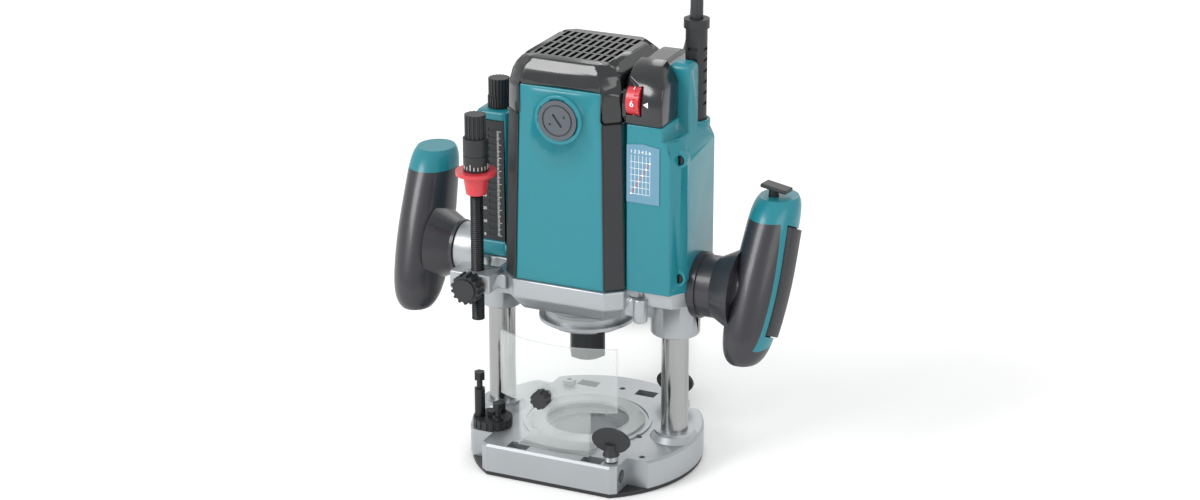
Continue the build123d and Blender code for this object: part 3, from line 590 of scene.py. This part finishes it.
@dataclass
class StopPole:
    """Threaded depth-stop pole."""

    x: float = -0.0645
    y: float = -0.0495
    low: float = 0.113
    high: float = 0.262
    crest: float = 0.0048
    root: float = 0.0042
    pitch: float = 0.0015

    def build(self, finishes: Finishes) -> bpy.types.Object:
        """Builds the pole with its thread.

        Args:
            finishes: the material set.

        Returns:
            The pole.
        """
        shape = bmesh.new()
        steps = 24
        rows = 2 * int((self.high - self.low) / self.pitch)
        grid = []
        for row in range(rows + 3):
            radius = self.root if row % 2 else self.crest
            line = []
            for step in range(steps):
                angle = 2 * math.pi * step / steps
                z = self.low + self.pitch * (row / 2 + step / steps - 1.0)
                z = min(max(z, self.low), self.high)
                line.append(shape.verts.new((self.x + radius * math.cos(angle),
                                             self.y + radius * math.sin(angle), z)))
            grid.append(line)
        for row in range(rows):
            for step in range(steps):
                last = step == steps - 1
                after, above = (grid[row + 2][0], grid[row + 3][0]) if last else (
                    grid[row][step + 1], grid[row + 1][step + 1])
                shape.faces.new((grid[row][step], after, above, grid[row + 1][step]))
        middle = (self.x, self.y, (self.low + self.high) / 2)
        bmesh.ops.create_cone(shape, cap_ends=True, segments=steps, radius1=self.root, radius2=self.root,
                              depth=self.high - self.low, matrix=Matrix.Translation(middle))
        pole = mesh_piece(shape, "threaded_pole", "stop_pole")
        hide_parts("stop_pole")
        return finishes.put(pole, "black_steel")


@dataclass
class Ticks:
    """White graduations of the fine-adjust knob."""

    x: float = -0.0645
    y: float = -0.0495
    low: float = 0.2285
    radius: float = 0.00912
    count: int = 20

    def build(self, finishes: Finishes) -> bpy.types.Object:
        """Builds the graduations.

        Args:
            finishes: the material set.

        Returns:
            The printed marks as one mesh.
        """
        shape = bmesh.new()
        for i in range(self.count):
            height = 0.0042 if i % 5 == 0 else 0.0026
            place = (Matrix.Translation((self.x, self.y, self.low + height / 2))
                     @ Matrix.Rotation(2 * math.pi * i / self.count, 4, "Z")
                     @ Matrix.Translation((self.radius, 0, 0))
                     @ Matrix.Diagonal((0.0001, 0.0004, height, 1)))
            bmesh.ops.create_cube(shape, size=1.0, matrix=place)
        return finishes.put(mesh_piece(shape, "knob_graduations", "fine_knob"),
                            "white_ink")


@dataclass
class ClampSprings:
    """Coil springs under the wing screws that hold the fence rods."""

    x: float = 0.046
    rows: tuple[float, float] = (-0.06, 0.058)
    low: float = 0.024
    high: float = 0.029
    radius: float = 0.00445
    wire: float = 0.0007
    turns: int = 4

    def build(self, finishes: Finishes) -> bpy.types.Object:
        """Builds both springs as one mesh.

        Args:
            finishes: the material set.

        Returns:
            The springs.
        """
        shape = bmesh.new()
        steps, sides = 24 * self.turns, 8
        for y in self.rows:
            rings = []
            for step in range(steps + 1):
                angle = 2 * math.pi * step / 24
                z = self.low + self.wire + (self.high - self.low - 2 * self.wire) * step / steps
                ring = []
                for side in range(sides):
                    lean = 2 * math.pi * side / sides
                    out = self.radius + self.wire * math.cos(lean)
                    ring.append(shape.verts.new((self.x + out * math.cos(angle),
                                                 y + out * math.sin(angle),
                                                 z + self.wire * math.sin(lean))))
                rings.append(ring)
            for a, b in zip(rings, rings[1:]):
                for side in range(sides):
                    after = (side + 1) % sides
                    shape.faces.new((a[side], b[side], b[after], a[after]))
            shape.faces.new(rings[0])
            shape.faces.new(list(reversed(rings[-1])))
        bmesh.ops.recalc_face_normals(shape, faces=shape.faces)
        for face in shape.faces:
            face.smooth = len(face.verts) == 4
        springs = mesh_piece(shape, "coiled_clamp_springs", "base")
        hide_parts("clamp_springs")
        return finishes.put(springs, "zinc_steel")


@dataclass
class DepthScale:
    """White graduations and figures of the plunge depth scale."""

    left: float = -0.0662
    figures: float = -0.0766
    face_y: float = -0.01245
    low: float = 0.164
    count: int = 81

    def build(self, finishes: Finishes) -> list[bpy.types.Object]:
        """Builds the graduations and the figures.

        Args:
            finishes: the material set.

        Returns:
            Its pieces.
        """
        shape = bmesh.new()
        for i in range(self.count):
            width = 0.0034 if i % 10 == 0 else 0.0026 if i % 5 == 0 else 0.0016
            place = (Matrix.Translation((self.left + width / 2, self.face_y, self.low + 0.001 * i))
                     @ Matrix.Diagonal((width, 0.0001, 0.00025, 1)))
            bmesh.ops.create_cube(shape, size=1.0, matrix=place)
        pieces = [finishes.put(mesh_piece(shape, "depth_graduations", "carriage"),
                               "white_ink")]
        for i in range(9):
            place = Matrix.Translation((self.figures, self.face_y, self.low + 0.01 * i)) @ UPRIGHT
            figure = text_mesh(f"depth_figure_{i}", str(10 * i), 3.0, place, "carriage")
            pieces.append(finishes.put(figure, "white_ink"))
        return pieces


@dataclass
class Studio:
    """Camera, floor and soft lights."""

    eye: tuple[float, float, float] = (0.78394, -1.70602, 0.86071)
    aim: tuple[float, float, float] = (0.01005, 0.0, 0.1603)
    lens: float = 82.7
    floor_half: float = 12.0
    floor_z: float = -0.0005

    def light(self, name: str, spot: tuple[float, float, float], size: float, power: float) -> None:
        """Adds one soft area light aimed at the router.

        Args:
            name: light name.
            spot: where it hangs.
            size: side of its panel.
            power: watts.
        """
        data = bpy.data.lights.new(name, "AREA")
        data.shape = "RECTANGLE"
        data.size = size
        data.size_y = size
        data.energy = power
        lamp = bpy.data.objects.new(name, data)
        lamp.location = spot
        direction = Vector(self.aim) - Vector(spot)
        lamp.rotation_euler = direction.to_track_quat("-Z", "Y").to_euler()
        bpy.context.scene.collection.objects.link(lamp)

    def camera(self) -> None:
        """Adds the camera at the operator's three-quarter view."""
        data = bpy.data.cameras.new("camera")
        data.lens = self.lens
        data.sensor_width = 36.0
        data.sensor_fit = "HORIZONTAL"
        data.clip_start = 0.05
        camera = bpy.data.objects.new("camera", data)
        camera.location = self.eye
        direction = Vector(self.aim) - Vector(self.eye)
        camera.rotation_euler = direction.to_track_quat("-Z", "Y").to_euler()
        bpy.context.scene.collection.objects.link(camera)
        bpy.context.scene.camera = camera

    def floor(self) -> None:
        """Adds the plain pale floor, just under the sole."""
        shape = bmesh.new()
        bmesh.ops.create_grid(shape, x_segments=1, y_segments=1, size=self.floor_half,
                              matrix=Matrix.Translation((0, 0, self.floor_z)))
        mesh = bpy.data.meshes.new("floor")
        shape.to_mesh(mesh)
        shape.free()
        floor = bpy.data.objects.new("floor", mesh)
        bpy.context.scene.collection.objects.link(floor)
        paper = bpy.data.materials.new("white_paper")
        paper.use_nodes = True
        inputs = paper.node_tree.nodes["Principled BSDF"].inputs
        inputs["Base Color"].default_value = (0.93, 0.93, 0.93, 1)
        inputs["Roughness"].default_value = 0.9
        floor.data.materials.append(paper)

    def sky(self) -> None:
        """Adds even white light from all round."""
        world = bpy.data.worlds.new("studio")
        world.use_nodes = True
        inputs = world.node_tree.nodes["Background"].inputs
        inputs["Color"].default_value = (1, 1, 1, 1)
        inputs["Strength"].default_value = 0.8
        bpy.context.scene.world = world
        bpy.context.scene.view_settings.view_transform = "Standard"

    def build(self) -> None:
        """Sets up camera, floor, sky and lights."""
        self.camera()
        self.floor()
        self.sky()
        self.light("key_light", (-1.2, -1.7, 1.6), 1.1, 36.0)
        self.light("fill_light", (1.9, -0.9, 1.2), 1.2, 11.0)
        self.light("rear_light", (-0.2, 1.8, 1.8), 1.4, 14.0)


def main() -> None:
    """Builds the router's looks in order."""
    logging.basicConfig(level=logging.INFO, format="%(message)s")
    finishes = Finishes()
    for key, names in NODE_FINISH.items():
        for name in names:
            finishes.put(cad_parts[name], key)
    Studio().build()
    parts = [Cord().build(finishes), StopPole().build(finishes)]
    parts += [finishes.put(rounded_copy(node, "carriage", width,
                                        sharp_roof=node == "top_cover"), key)
              for node, slot, key, width in SOFT_EDGES]
    parts += [Ticks().build(finishes), ClampSprings().build(finishes)]
    parts += DepthScale().build(finishes)
    parts += SpeedLabel().build(finishes)
    parts += DialMarks().build(finishes)
    for piece in parts:
        log.info("built %s", piece.name)


if __name__ == "__main__":
    main()
